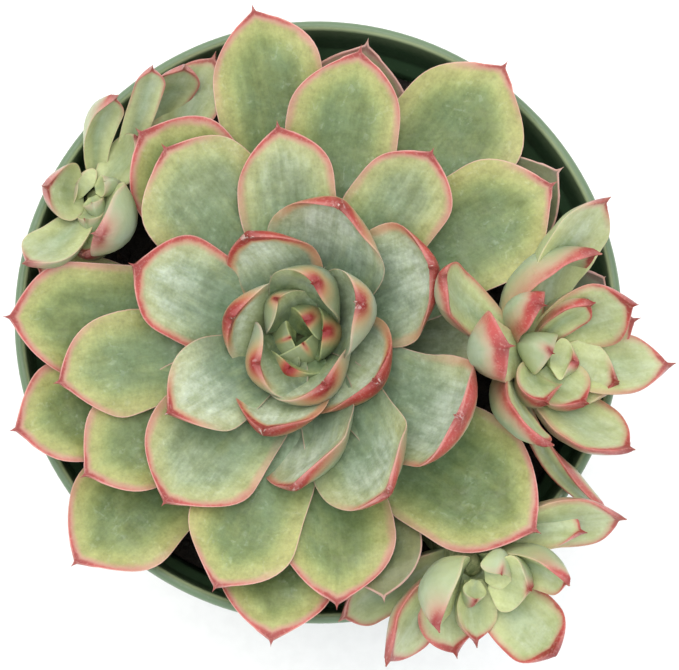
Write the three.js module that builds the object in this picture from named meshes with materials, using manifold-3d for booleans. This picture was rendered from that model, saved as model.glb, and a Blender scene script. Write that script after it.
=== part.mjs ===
// Potted echeveria pulidonis: one large rosette and three offsets in a green nursery pot.
// Millimetres, +Z up, the pot's foot on Z = 0 and its axis on the Z axis.
// Plan directions are degrees anticlockwise from +X, seen from above.
import * as THREE from 'three';
import { mergeVertices } from 'three/addons/utils/BufferGeometryUtils.js';
import Module from 'manifold-3d';

const wasm = await Module();
wasm.setup();

// Pot
const POT_SEGMENTS = 64;
const POT_HEIGHT = 86;
const FOOT_RADIUS = 38;
const LIP_RADIUS = 54.1;
const WALL = 1.3;
const FLOOR = 1.8;
const BAND_BOTTOM = 75;
const BAND_STEP = 1.8;
const WALL_TOP_RADIUS = 50.6;
const DRAIN_HOLES = 6;
const DRAIN_RADIUS = 4;
const DRAIN_RING = 29;

// Soil
const GAP = 0.3;
const SOIL_TOP = 74;
const SOIL_SEGMENTS = 48;
const SOIL_RINGS = [0, 10, 20, 30, 39, 45];
const SOIL_LUMP = 0.5;

// Stems
const STEM_SIDES = 10;
const STEM_FOOT = 56;
const SOIL_HOLE_FLOOR = 55.7;

// Leaves
const LEAF_START = 2;
const LEAF_THICKNESS = 4.4;
const LEAF_CUP = 0.16;
const LEAF_BASE_WIDTH = 0.42;
const LEAF_TIP_LENGTH = 0.62;
const LEAF_BLUNTNESS = 2.4;
const LEAF_POINT = 1.2;
const LEAF_STEPS = 48;
const SMALL_LEAF = 9;

// Shape of each rosette: where its crown sits, how it leans, and how lift, curl and height
// of the leaves change from the youngest leaf in the middle to the oldest outside.
const MAIN = {
  crown: [-4, -4.2, 78], leanTo: 0, lean: 0,
  foot: [-4.0, -4.2], stemRadius: 6,
  top: 12, drop: 10,
  lift: [11, 58, 22], curl: [12, 70, 14],
};
const OFFSET_RULE = { top: 8, drop: 7, lift: [12, 58, 14], curl: [14, 66, 10] };
const RIGHT = {
  ...OFFSET_RULE, crown: [34.5, -7, 86], leanTo: 350, lean: 32,
  foot: [33.0, -6.5], stemRadius: 3.6,
};
const LOWER = {
  ...OFFSET_RULE, crown: [25, -42, 89], leanTo: 298, lean: 34,
  foot: [20.5, -36], stemRadius: 3.4,
};
const UPPER_LEFT = {
  ...OFFSET_RULE, crown: [-38.5, 20.5, 82], leanTo: 150, lean: 20,
  foot: [-37.0, 19.5], stemRadius: 3.2,
};

// Leaves from the youngest to the oldest: direction, reach from the crown's axis, width.
// lift: mean elevation, curl: how much it curves up, sweep: sideways bend, roll: twist at the
// tip (all degrees); drop: lower by so much; blunt: fuller shoulders; cup: deeper channel.
const MAIN_LEAVES = [
  leaf(180, 1.2, 10.5, { lift: 70, curl: 60, sweep: 20, roll: 10, cup: 0.12, point: 0.3 }),
  leaf(68, 2.4, 8.5, { lift: 81, curl: 68, sweep: -10, roll: -32, cup: 0.13, point: 0.4 }),
  leaf(305, 1.2, 10, { lift: 76, curl: 50, sweep: 0, roll: 0, cup: 0.15, point: 0.4 }),
  leaf(10, 4, 10, { lift: 76, curl: 76, sweep: -25, roll: 3, cup: 0.17, point: 0.6 }),
  leaf(256, 5.5, 11, { lift: 54, curl: 65, sweep: -59, roll: 9, cup: 0.17, point: 0.6 }),
  leaf(122, 7.5, 10.5, { lift: 56, curl: 17, sweep: 56, roll: 8, drop: -0.5, cup: 0.33 }),
  leaf(218, 8.5, 14.5, { lift: 58, curl: 68, sweep: -56, roll: -7, drop: -1, cup: 0.23 }),
  leaf(294, 9.5, 17, { lift: 66, curl: 60, sweep: 31, roll: 6, drop: 1.5, cup: 0.23 }),
  leaf(75, 7.5, 14, { lift: 81, curl: 58, sweep: -67, roll: 10, drop: 2, cup: 0.29 }),
  leaf(25, 10, 15.5, { lift: 77, curl: 70, sweep: -34, roll: -4, drop: 1.5, cup: 0.35 }),
  leaf(168, 12, 16, { lift: 51, curl: 59, sweep: 53, roll: -50, cup: 0.16 }),
  leaf(327, 15, 20, { lift: 57, curl: 84, sweep: -31, roll: 9, cup: 0.2 }),
  leaf(250, 18.5, 17, { lift: 40, curl: 49, sweep: -33, roll: 32, cup: 0.26 }),
  leaf(119, 19.5, 17, { lift: 39, curl: 49, sweep: 60, roll: -55, drop: -0.8, cup: 0.05 }),
  leaf(73, 21.5, 22, { lift: 59, curl: 102, sweep: 30, roll: -29, drop: -1.5, cup: 0.32 }),
  leaf(26, 24.5, 21, { lift: 54, curl: 102, sweep: -28, drop: -1.5, blunt: 3, cup: 0.25 }),
  leaf(267, 27.5, 19, { lift: 33, curl: 48, sweep: -71, roll: 73, cup: 0.21 }),
  leaf(212, 27.5, 16.5, { sweep: 6 }),
  leaf(329, 30, 21.5, { lift: 62, curl: 104, sweep: 20, roll: -8, drop: -1.2, blunt: 4, cup: 0.2 }),
  leaf(297, 32, 20, { lift: 46, curl: 66, sweep: -20, roll: 42, drop: -1.6, cup: 0.25 }),
  leaf(158, 32, 18.5, { drop: 0.8, blunt: 3 }),
  leaf(96, 37.5, 17.5, { sweep: 10 }),
  leaf(232, 38.5, 22, { sweep: 5, blunt: 3 }),
  leaf(54, 40, 17.5, { lift: 24, curl: 24, sweep: 8, blunt: 3 }),
  leaf(126, 41, 23, { sweep: 12, drop: 0, blunt: 4.5 }),
  leaf(192, 43.5, 18, { sweep: 18 }),
  leaf(128, 46.5, 22, { sweep: 25, drop: 3, blunt: 3.2 }),
  leaf(214, 45.5, 18.5, { sweep: 5 }),
  leaf(252, 47.5, 19.5, { sweep: -20, drop: -1.5 }),
  leaf(278, 48.5, 20, { sweep: -22, drop: -0.2 }),
  leaf(288, 49, 16, { sweep: -30, drop: 1.8 }),
  leaf(78, 52.5, 20),
  leaf(177, 51.5, 21, { sweep: 8 }),
  leaf(31, 53, 22, { sweep: -5 }),
  leaf(320, 54.5, 24.5, { lift: 18, sweep: 10, drop: -0.2 }),
  leaf(77, 55, 20, { drop: 3 }),
  leaf(199, 53, 19),
  leaf(33, 56, 20, { drop: 3 }),
  leaf(265, 54.5, 20),
  leaf(226, 56.5, 21),
  leaf(98, 59.5, 20, { sweep: 14, drop: -0.2 }),
  leaf(53, 61.5, 24),
  leaf(164, 49, 10, { lift: 10, curl: 14, drop: 2.2 }),
  leaf(0, 35, 17, { drop: 4 }),
];
const RIGHT_LEAVES = [
  leaf(356, 4, 7.5, { lift: 62, curl: 94, roll: -22, drop: -1, cup: 0.17, point: 0.5 }),
  leaf(150, 1, 8.5, { lift: 88, curl: 50, sweep: 0, roll: 0, cup: 0.2, point: 0.5 }),
  leaf(247, 9, 9, { lift: 48, curl: 20, sweep: 40, roll: 35, cup: 0.3 }),
  leaf(304, 9.5, 11, { lift: 48, curl: 40, sweep: -5, roll: 0, drop: -0.8, cup: 0.15 }),
  leaf(340, 11, 12, { lift: 56, curl: 74, sweep: 0, drop: -1.2, cup: 0.08 }),
  leaf(176, 16, 12.5, { lift: 62, curl: 83, sweep: -11, roll: 31, cup: 0.13 }),
  leaf(121, 10, 9, { lift: 62, curl: 70, sweep: 10, roll: 30, cup: 0.23 }),
  leaf(66, 10.5, 7, { lift: 56, curl: 20, sweep: -28, roll: 25, cup: 0.29 }),
  leaf(43, 14, 13.5, { lift: 57, curl: 33, sweep: -49, roll: 22, cup: 0.14 }),
  leaf(24, 19, 10, { drop: -1.5 }),
  leaf(73, 19.5, 13, { lift: 40, curl: 35, sweep: -115, roll: 80, drop: 2.5, cup: 0.29 }),
  leaf(359, 21, 12.5, { lift: 41, curl: -10, sweep: 28, roll: -54, drop: 0.5, cup: 0.21 }),
  leaf(304, 19, 13, { lift: 50, curl: 33, sweep: 33, roll: -24, cup: 0.18 }),
  leaf(245, 17, 10, { lift: 50, curl: 23, sweep: 87, roll: -35, cup: 0.11 }),
  leaf(148, 25.5, 10.5, { lift: 21, curl: 66, sweep: 7, roll: 25, drop: -2.1, cup: 0.18 }),
  leaf(77, 29, 12.5, { lift: 28, curl: 28, sweep: -32, roll: 18, drop: -3, cup: 0.22 }),
  leaf(46, 21, 12, { drop: 2.5, blunt: 3, point: 0.3 }),
  leaf(292, 29.5, 4, { lift: 22, curl: -6, sweep: 79, roll: 99, cup: 0.23 }),
];
const LOWER_LEAVES = [
  leaf(257, 3.7, 4.5, { point: 0.5 }),
  leaf(35, 3.1, 7.5, { lift: 64, curl: 60, sweep: 60, roll: 14, drop: -1.5, cup: 0.24, point: 0.6 }),
  leaf(356, 7.5, 11, { lift: 50, curl: 45, sweep: 0, roll: 10, drop: -2, cup: 0.22, point: 0.8 }),
  leaf(270, 12.5, 8, { lift: 28, curl: -3, roll: -21, cup: 0.28 }),
  leaf(208, 11.5, 13.5, { lift: 50, curl: 8, sweep: 87, roll: -70, cup: 0.21 }),
  leaf(256, 15, 11.5, { lift: 31, curl: 52, sweep: 40, roll: 40, cup: 0.19 }),
  leaf(317, 14.5, 12.5, { lift: 63, curl: 70, sweep: 22, roll: -17, blunt: 3.2, cup: 0.06, point: 0.5 }),
  leaf(12, 12.5, 7.5, { lift: 60, curl: 41, sweep: -20, roll: 27, cup: 0.48 }),
  leaf(226, 22.5, 12, { lift: 20, curl: 25, sweep: -7, roll: -32, cup: 0.06 }),
  leaf(22, 20.5, 7.5, { lift: 26, curl: 39, sweep: -34, roll: -60, drop: 1, cup: 0.24 }),
  leaf(22, 27.5, 11.5, { lift: 23, curl: 21, sweep: -18, roll: 21, drop: 1.4, cup: 0.13 }),
  leaf(206, 25, 9, { lift: 8, curl: 14, drop: 2 }),
];
const UPPER_LEFT_LEAVES = [
  leaf(12, 3.4, 4, { point: 0.3 }),
  leaf(290, 2.9, 4, { point: 0.3 }),
  leaf(147, 2.6, 8, { lift: 50, curl: 40, sweep: 30, roll: 15, cup: 0.05, point: 0.3 }),
  leaf(271, 6, 5),
  leaf(290, 12, 14, { lift: 49, curl: 40, sweep: -96, roll: 89, cup: 0.15 }),
  leaf(44, 12.5, 9.5, { lift: 36, curl: 69, sweep: -9, roll: -28, drop: -1, cup: 0.14 }),
  leaf(190, 6.5, 10.5, { lift: 63, curl: 0, sweep: 9, roll: -42, drop: -1.6, cup: 0.3 }),
  leaf(242, 18, 9.5, { lift: 36, curl: 16, sweep: -26, roll: 9, drop: -1.5, blunt: 3, cup: 0.2 }),
  leaf(269, 12.5, 9, { drop: 0.5 }),
  leaf(65, 16.5, 6, { lift: 39, curl: 1, sweep: -87, roll: 100, drop: -0.3, cup: 0.39 }),
  leaf(52, 23.5, 5.5, { lift: 42, curl: 27, sweep: -10, roll: 60, drop: 1.5, cup: 0.24 }),
  leaf(49, 27.5, 7.5, { lift: 34, curl: 71, sweep: -57, roll: 75, drop: 0.5, cup: 0.14 }),
  leaf(48, 33.5, 11, { sweep: 25, drop: 3.2 }),
];

function leaf(direction, reach, width, extra = {}) {
  return {
    direction, reach, width,
    sweep: 0, roll: 0, drop: 0,
    cup: LEAF_CUP, blunt: LEAF_BLUNTNESS, point: LEAF_POINT,
    ...extra,
  };
}

function radians(degrees) {
  return THREE.MathUtils.degToRad(degrees);
}

// Closed solids

function solidOf(geometry) {
  const plain = geometry.index ? geometry.toNonIndexed() : geometry.clone();
  plain.deleteAttribute('normal');
  plain.deleteAttribute('uv');
  const welded = mergeVertices(plain, 1e-4);
  const mesh = new wasm.Mesh({
    numProp: 3,
    vertProperties: new Float32Array(welded.attributes.position.array),
    triVerts: new Uint32Array(welded.index.array),
  });
  mesh.merge();
  return new wasm.Manifold(mesh);
}

function geometryOf(solid) {
  const mesh = solid.getMesh();
  const geometry = new THREE.BufferGeometry();
  geometry.setAttribute('position', new THREE.BufferAttribute(mesh.vertProperties, 3));
  geometry.setIndex(new THREE.BufferAttribute(mesh.triVerts, 1));
  geometry.computeVertexNormals();
  return geometry;
}

// Joins closed loops of points, all of one length, into a skin with a flat end at each
// side; a loop of one point closes the skin to a tip.
function skinOf(loops) {
  const positions = [];
  const starts = [];
  for (const loop of loops) {
    starts.push(positions.length / 3);
    for (const p of loop) positions.push(p.x, p.y, p.z);
  }
  const index = [];
  const first = loops[0];
  for (let j = 1; j < first.length - 1; j += 1) index.push(0, j + 1, j);
  for (let i = 0; i < loops.length - 1; i += 1) {
    const count = loops[i].length;
    for (let j = 0; j < count; j += 1) {
      const k = (j + 1) % count;
      const a = starts[i] + j;
      const b = starts[i] + k;
      if (loops[i + 1].length === 1) {
        index.push(a, b, starts[i + 1]);
      } else {
        const c = starts[i + 1] + k;
        const d = starts[i + 1] + j;
        index.push(a, b, c, a, c, d);
      }
    }
  }
  const last = loops[loops.length - 1];
  const end = starts[loops.length - 1];
  for (let j = 1; j < last.length - 1; j += 1) index.push(end, end + j, end + j + 1);
  const geometry = new THREE.BufferGeometry();
  geometry.setAttribute('position', new THREE.Float32BufferAttribute(positions, 3));
  geometry.setIndex(index);
  return geometry;
}

// Leaf

// Half width along the leaf, as a share of the greatest half width.
function widthShare(t, widest, blunt) {
  if (t < widest) {
    const rise = Math.sin((Math.PI / 2) * (t / widest)) ** 1.2;
    return LEAF_BASE_WIDTH + (1 - LEAF_BASE_WIDTH) * rise;
  }
  return 1 - ((t - widest) / (1 - widest)) ** blunt;
}

function thicknessAt(t) {
  const body = 0.6 + 0.4 * Math.sin(Math.PI * Math.min(1.1 * t, 1));
  return LEAF_THICKNESS * body * (1 - 0.78 * t ** 5);
}

// The leaf's middle line: it leaves the stem at the low elevation, curves up to the high one
// and bends sideways, and its tip lies on the leaf's direction at the wanted reach.
function middleLine(reach, height, low, high, sweep) {
  const power = 1.2 + (high - low) / 80;
  const start = Math.min(LEAF_START, 0.3 * reach);
  const points = [];
  let x = 0;
  let y = 0;
  let z = 0;
  for (let i = 0; i <= LEAF_STEPS; i += 1) {
    const t = i / LEAF_STEPS;
    const elevation = radians(low + (high - low) * t ** power);
    const heading = radians(sweep) * (t - 0.5);
    if (i > 0) {
      const before = points[i - 1];
      const half = 0.5 / LEAF_STEPS;
      x += half * (Math.cos(elevation) * Math.cos(heading)
        + Math.cos(before.elevation) * Math.cos(before.heading));
      y += half * (Math.cos(elevation) * Math.sin(heading)
        + Math.cos(before.elevation) * Math.sin(before.heading));
      z += half * (Math.sin(elevation) + Math.sin(before.elevation));
    }
    points.push({ t, x, y, z, elevation, heading });
  }
  const turn = Math.atan2(y, x);
  const length = (reach - start) / Math.hypot(x, y);
  return {
    length,
    points: points.map((p) => ({
      t: p.t,
      x: start + length * (p.x * Math.cos(turn) + p.y * Math.sin(turn)),
      y: length * (p.y * Math.cos(turn) - p.x * Math.sin(turn)),
      z: height + length * p.z,
      elevation: p.elevation,
      heading: p.heading - turn,
    })),
  };
}

function stationAt(line, t) {
  const place = t * LEAF_STEPS;
  const i = Math.min(Math.floor(place), LEAF_STEPS - 1);
  const a = line.points[i];
  const b = line.points[i + 1];
  const mix = (key) => a[key] + (b[key] - a[key]) * (place - i);
  return {
    at: new THREE.Vector3(mix('x'), mix('y'), mix('z')),
    elevation: mix('elevation'),
    heading: mix('heading'),
  };
}

// Unit vectors along, across and out of the upper face of the leaf.
function axesAt(station, roll) {
  const { elevation, heading } = station;
  const along = new THREE.Vector3(
    Math.cos(elevation) * Math.cos(heading),
    Math.cos(elevation) * Math.sin(heading),
    Math.sin(elevation),
  );
  const across = new THREE.Vector3(-Math.sin(heading), Math.cos(heading), 0);
  const up = new THREE.Vector3().crossVectors(along, across);
  across.applyAxisAngle(along, roll);
  up.applyAxisAngle(along, roll);
  return { along, across, up };
}

// Cross-section: a shallow channel above, a full rounded back below.
const SECTION = [
  { u: -1, face: 'edge' },
  { u: -0.45, face: 'back' },
  { u: 0.45, face: 'back' },
  { u: 1, face: 'edge' },
  { u: 0.4, face: 'top' },
  { u: -0.4, face: 'top' },
];

function sectionAt(line, t, shape, halfWidth, grow) {
  const station = stationAt(line, t);
  const { across, up } = axesAt(station, radians(shape.roll) * t);
  const thickness = thicknessAt(t);
  return SECTION.map(({ u, face }) => {
    const rise = shape.cup * halfWidth * u * u;
    const depth = face === 'back' ? thickness * (1 - Math.abs(u) ** 2.2) : 0;
    const side = u * halfWidth + (Math.abs(u) === 1 ? Math.sign(u) * grow : 0);
    const level = rise - depth + (face === 'back' ? -grow : face === 'top' ? grow : 0);
    return station.at.clone().addScaledVector(across, side).addScaledVector(up, level);
  });
}

function leafSolid(shape, rosette, rank, grow = 0) {
  const [liftFloor, liftExtra, liftFade] = rosette.lift;
  const [curlFloor, curlExtra, curlFade] = rosette.curl;
  const { reach, width, point } = shape;
  const lift = shape.lift ?? liftFloor + liftExtra * Math.exp(-reach / liftFade);
  const curl = shape.curl ?? curlFloor + curlExtra * Math.exp(-((reach / curlFade) ** 2));
  const low = lift - curl / 2;
  const high = lift + curl / 2;
  const height = rosette.top - rosette.drop * rank - shape.drop;
  const bladeReach = reach - point * Math.cos(radians(high));
  const line = middleLine(bladeReach, height, low, high, shape.sweep);
  const widest = Math.max(1 - (LEAF_TIP_LENGTH * width) / line.length, 0.45);
  const toTip = (share) => widest + share * (1 - widest);
  const rings = width < SMALL_LEAF
    ? [0, 0.5 * widest, widest, toTip(0.5), toTip(0.88)]
    : [0, 0.3 * widest, 0.65 * widest, widest, toTip(0.4), toTip(0.72), toTip(0.93)];
  const loops = rings.map((t) => {
    const halfWidth = Math.max((width / 2) * widthShare(t, widest, shape.blunt), 0.3);
    return sectionAt(line, t, shape, halfWidth, grow);
  });
  const end = stationAt(line, 1);
  const { along } = axesAt(end, 0);
  loops.push([end.at.clone().addScaledVector(along, point + grow)]);
  const geometry = skinOf(loops);
  geometry.rotateZ(radians(shape.direction));
  placeOnCrown(geometry, rosette);
  return solidOf(geometry);
}

function placeOnCrown(geometry, rosette) {
  const leanTo = radians(rosette.leanTo);
  const axis = new THREE.Vector3(-Math.sin(leanTo), Math.cos(leanTo), 0);
  const turn = new THREE.Matrix4().makeRotationAxis(axis, radians(rosette.lean));
  geometry.applyMatrix4(turn);
  geometry.translate(...rosette.crown);
}

// Stem: upright in its hole in the soil, then leaning with the rosette up into the crown.
function stemSolid(rosette) {
  const leanTo = radians(rosette.leanTo);
  const lean = radians(rosette.lean);
  const out = new THREE.Vector3(Math.cos(leanTo), Math.sin(leanTo), 0);
  const axis = new THREE.Vector3(0, 0, Math.cos(lean)).addScaledVector(out, Math.sin(lean));
  const crown = new THREE.Vector3(...rosette.crown);
  const [footX, footY] = rosette.foot;
  const upright = new THREE.Vector3(0, 0, 1);
  const radius = rosette.stemRadius;
  const stations = [
    { at: new THREE.Vector3(footX, footY, STEM_FOOT), axis: upright, radius },
    { at: new THREE.Vector3(footX, footY, SOIL_TOP + 1), axis: upright, radius },
    { at: crown.clone().addScaledVector(axis, 2), axis, radius },
    { at: crown.clone().addScaledVector(axis, rosette.top), axis, radius: 0.45 * radius },
  ];
  const loops = stations.map((station) => {
    const side = new THREE.Vector3(1, 0, 0);
    side.addScaledVector(station.axis, -side.dot(station.axis)).normalize();
    const across = new THREE.Vector3().crossVectors(station.axis, side);
    const loop = [];
    for (let j = 0; j < STEM_SIDES; j += 1) {
      const angle = (2 * Math.PI * j) / STEM_SIDES;
      loop.push(station.at.clone()
        .addScaledVector(side, station.radius * Math.cos(angle))
        .addScaledVector(across, station.radius * Math.sin(angle)));
    }
    return loop;
  });
  return solidOf(skinOf(loops));
}

function leafSolids(rosette, leaves, grow = 0) {
  const rank = (i) => i / (leaves.length - 1);
  return leaves.map((shape, i) => leafSolid(shape, rosette, rank(i), grow));
}

// Fills the small hollows shut in between overlapping leaves and drops loose scraps.
function oneBody(solid) {
  const shells = solid.decompose();
  shells.sort((a, b) => b.volume() - a.volume());
  return shells[0];
}

function rosetteSolid(rosette, leaves) {
  const parts = [stemSolid(rosette), ...leafSolids(rosette, leaves)];
  return oneBody(wasm.Manifold.union(parts));
}

// Where an offset's leaf would press into a neighbour it is cut back to the gap.
function clearOf(solid, rosette, leaves) {
  const grown = wasm.Manifold.union(leafSolids(rosette, leaves, GAP));
  return oneBody(solid.subtract(grown));
}

// Pot: thin tapered wall, a straight band under a rolled lip, drain holes round the foot.
function potSolid() {
  const taper = (WALL_TOP_RADIUS - FOOT_RADIUS) / BAND_BOTTOM;
  const profile = [
    [0, 0],
    [FOOT_RADIUS - 1.5, 0],
    [FOOT_RADIUS, 1.5],
    [WALL_TOP_RADIUS, BAND_BOTTOM],
    [WALL_TOP_RADIUS + BAND_STEP, BAND_BOTTOM + 0.8],
    [LIP_RADIUS - 0.9, POT_HEIGHT - 2.6],
    [LIP_RADIUS, POT_HEIGHT - 1.8],
    [LIP_RADIUS, POT_HEIGHT - 0.7],
    [LIP_RADIUS - 0.5, POT_HEIGHT],
    [LIP_RADIUS - 1.3, POT_HEIGHT],
    [LIP_RADIUS - 1.8, POT_HEIGHT - 0.6],
    [WALL_TOP_RADIUS + BAND_STEP - WALL, BAND_BOTTOM + 1.6],
    [WALL_TOP_RADIUS - WALL, BAND_BOTTOM - 0.6],
    [FOOT_RADIUS + taper * FLOOR - WALL, FLOOR],
    [0, FLOOR],
  ];
  const points = profile.map(([r, z]) => new THREE.Vector2(r, z));
  const lathe = new THREE.LatheGeometry(points, POT_SEGMENTS);
  lathe.rotateX(Math.PI / 2);
  let solid = solidOf(lathe);
  for (let i = 0; i < DRAIN_HOLES; i += 1) {
    const angle = (2 * Math.PI * (i + 0.5)) / DRAIN_HOLES;
    const drill = uprightCylinder(DRAIN_RADIUS, -1, FLOOR + 1, 16);
    drill.translate(DRAIN_RING * Math.cos(angle), DRAIN_RING * Math.sin(angle), 0);
    solid = solid.subtract(solidOf(drill));
  }
  return solid;
}

function uprightCylinder(radius, bottom, top, sides) {
  const cylinder = new THREE.CylinderGeometry(radius, radius, top - bottom, sides);
  cylinder.rotateX(Math.PI / 2);
  cylinder.translate(0, 0, (top + bottom) / 2);
  return cylinder;
}

// Soil: fills the pot up to just under the band, its top a little lumpy, with a plain
// upright hole for each stem.
function soilSolid(rosettes) {
  const taper = (WALL_TOP_RADIUS - FOOT_RADIUS) / BAND_BOTTOM;
  const bottom = FLOOR + GAP;
  const insideAt = (z) => FOOT_RADIUS + taper * z - WALL - GAP - 0.15;
  const shoulder = SOIL_TOP - 0.8;
  const loops = [
    circle(insideAt(bottom) - 0.5, () => bottom),
    circle(insideAt(shoulder), () => shoulder),
  ];
  for (const radius of [...SOIL_RINGS].reverse()) {
    if (radius > 0) loops.push(circle(radius, lumpAt));
  }
  loops.push([new THREE.Vector3(0, 0, SOIL_TOP)]);
  let solid = solidOf(skinOf(loops));
  for (const { foot, stemRadius } of rosettes) {
    const drill = uprightCylinder(stemRadius + GAP + 0.1, SOIL_HOLE_FLOOR, SOIL_TOP + 3, 20);
    drill.translate(foot[0], foot[1], 0);
    solid = solid.subtract(solidOf(drill));
  }
  return solid;
}

function lumpAt(x, y) {
  const swell = Math.sin(0.31 * x + 1.3) * Math.cos(0.27 * y - 0.4);
  const ripple = Math.sin(0.83 * x - 0.6 * y);
  return SOIL_TOP + SOIL_LUMP * (swell + 0.5 * ripple);
}

function circle(radius, heightAt) {
  const loop = [];
  for (let j = 0; j < SOIL_SEGMENTS; j += 1) {
    const angle = (2 * Math.PI * j) / SOIL_SEGMENTS;
    const x = radius * Math.cos(angle);
    const y = radius * Math.sin(angle);
    loop.push(new THREE.Vector3(x, y, heightAt(x, y)));
  }
  return loop;
}

// Assembly

function node(name, solid, color, roughness) {
  const material = new THREE.MeshStandardMaterial({ color, roughness, metalness: 0 });
  const mesh = new THREE.Mesh(geometryOf(solid), material);
  mesh.name = name;
  return mesh;
}

const mainRosette = rosetteSolid(MAIN, MAIN_LEAVES);
const rightOffset = clearOf(rosetteSolid(RIGHT, RIGHT_LEAVES), MAIN, MAIN_LEAVES);
const lowerOffset = clearOf(
  clearOf(rosetteSolid(LOWER, LOWER_LEAVES), MAIN, MAIN_LEAVES),
  RIGHT,
  RIGHT_LEAVES,
);
const upperLeftOffset = clearOf(
  rosetteSolid(UPPER_LEFT, UPPER_LEFT_LEAVES),
  MAIN,
  MAIN_LEAVES,
);

const plant = new THREE.Group();
plant.name = 'potted_echeveria_pulidonis';
plant.add(
  node('pot', potSolid(), 0x5f7a5c, 0.45),
  node('soil', soilSolid([MAIN, RIGHT, LOWER, UPPER_LEFT]), 0x1d1a16, 0.95),
  node('main_rosette', mainRosette, 0x9db189, 0.6),
  node('offset_rosette_right', rightOffset, 0xa9bb98, 0.6),
  node('offset_rosette_lower', lowerOffset, 0xa9bb98, 0.6),
  node('offset_rosette_upper_left', upperLeftOffset, 0xa3b690, 0.6),
);

export default plant;
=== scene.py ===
"""Looks of a potted echeveria pulidonis: nursery pot, soil, one large rosette, three offsets."""

import math
from types import SimpleNamespace

import bpy
import numpy as np
from bpy.props import FloatProperty, FloatVectorProperty, IntProperty, PointerProperty
from mathutils import Matrix, Vector, noise


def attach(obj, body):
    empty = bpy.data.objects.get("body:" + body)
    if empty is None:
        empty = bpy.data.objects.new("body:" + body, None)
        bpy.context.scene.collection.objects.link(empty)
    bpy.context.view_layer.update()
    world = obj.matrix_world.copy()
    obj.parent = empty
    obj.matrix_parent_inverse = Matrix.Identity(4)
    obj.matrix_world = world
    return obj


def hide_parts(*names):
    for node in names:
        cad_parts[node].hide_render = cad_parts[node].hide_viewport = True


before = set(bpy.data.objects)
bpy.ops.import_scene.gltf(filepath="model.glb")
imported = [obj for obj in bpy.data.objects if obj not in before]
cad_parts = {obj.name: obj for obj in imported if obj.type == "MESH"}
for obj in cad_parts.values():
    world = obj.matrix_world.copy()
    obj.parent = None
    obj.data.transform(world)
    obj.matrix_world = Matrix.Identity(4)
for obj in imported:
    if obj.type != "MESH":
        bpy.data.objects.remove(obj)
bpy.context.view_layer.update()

bl_info = {
    "name": "Potted echeveria pulidonis",
    "version": (1, 0, 0),
    "blender": (4, 5, 0),
    "location": "View3D > Sidebar > Succulent",
    "description": "Builds a rosette succulent with offsets in a nursery pot",
    "category": "Add Mesh",
}

MM = 0.001


def linear(hex_colour):
    """Turns an sRGB hex value into linear red, green and blue."""
    parts = [int(hex_colour[i : i + 2], 16) / 255 for i in (1, 3, 5)]
    return tuple(c / 12.92 if c <= 0.04045 else ((c + 0.055) / 1.055) ** 2.4 for c in parts)


def number(name, description, default, subtype="NONE"):
    return FloatProperty(name=name, description=description, default=default, subtype=subtype)


def millimetres(name, description, default_mm):
    return number(name, description, default_mm * MM, "DISTANCE")


def whole_number(name, description, default):
    return IntProperty(name=name, description=description, default=default, min=0)


def colour(name, description, hex_colour):
    return FloatVectorProperty(
        name=name,
        description=description,
        default=(*linear(hex_colour), 1),
        size=4,
        min=0,
        max=1,
        subtype="COLOR",
    )


# Settings


class PotSettings(bpy.types.PropertyGroup):
    height: millimetres("Height", "Foot to the top of the lip", 86)
    foot_radius: millimetres("Foot radius", "Radius where the pot stands", 38)
    lip_radius: millimetres("Lip radius", "Radius outside the rolled lip", 54.1)
    wall_top_radius: millimetres("Wall radius", "Outside radius under the band", 50.6)
    band_bottom: millimetres("Band height", "Where the straight band starts", 75)
    wall: millimetres("Wall", "Thickness of the plastic", 1.3)
    drain_radius: millimetres("Drain hole radius", "Radius of each drain hole", 4)
    drain_ring: millimetres("Drain ring", "Radius of the ring of drain holes", 29)
    drain_holes: whole_number("Drain holes", "Number of holes", 6)
    plastic: colour("Plastic", "Dark green plastic", "#3f5c41")
    # Painted light: the top of the lip is painted in this paler green, as lit from above. Flow marks
    # over the pot take a little of it too.
    lit_lip_and_flow_green: colour("Lit lip and flow marks", "Paler green of the rolled lip", "#5f7658")
    # Painted highlight: a pale line along the lip's inner corner, where light catches it.
    lip_highlight_green: colour("Lip highlight", "Palest green along the lip's inner corner", "#b2c096")
    water_mark: colour("Water marks", "Dried water on the plastic", "#9aa091")


class SoilSettings(bpy.types.PropertyGroup):
    level: millimetres("Level", "Height of the soil's surface", 74)
    lump: millimetres("Lumps", "Height of the lumps in the surface", 0.6)
    crumbs: whole_number("Crumbs", "Loose crumbs of peat", 420)
    chips: whole_number("Bark chips", "Loose chips of bark", 90)
    peat: colour("Peat", "Moist peat", "#1b1714")
    dry_peat: colour("Drier peat", "Peat that has started to dry", "#2a231c")
    bark: colour("Bark", "Composted bark", "#3a2c20")
    dark_bark: colour("Darker bark", "Wet patches of the bark", "#1e1812")


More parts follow.
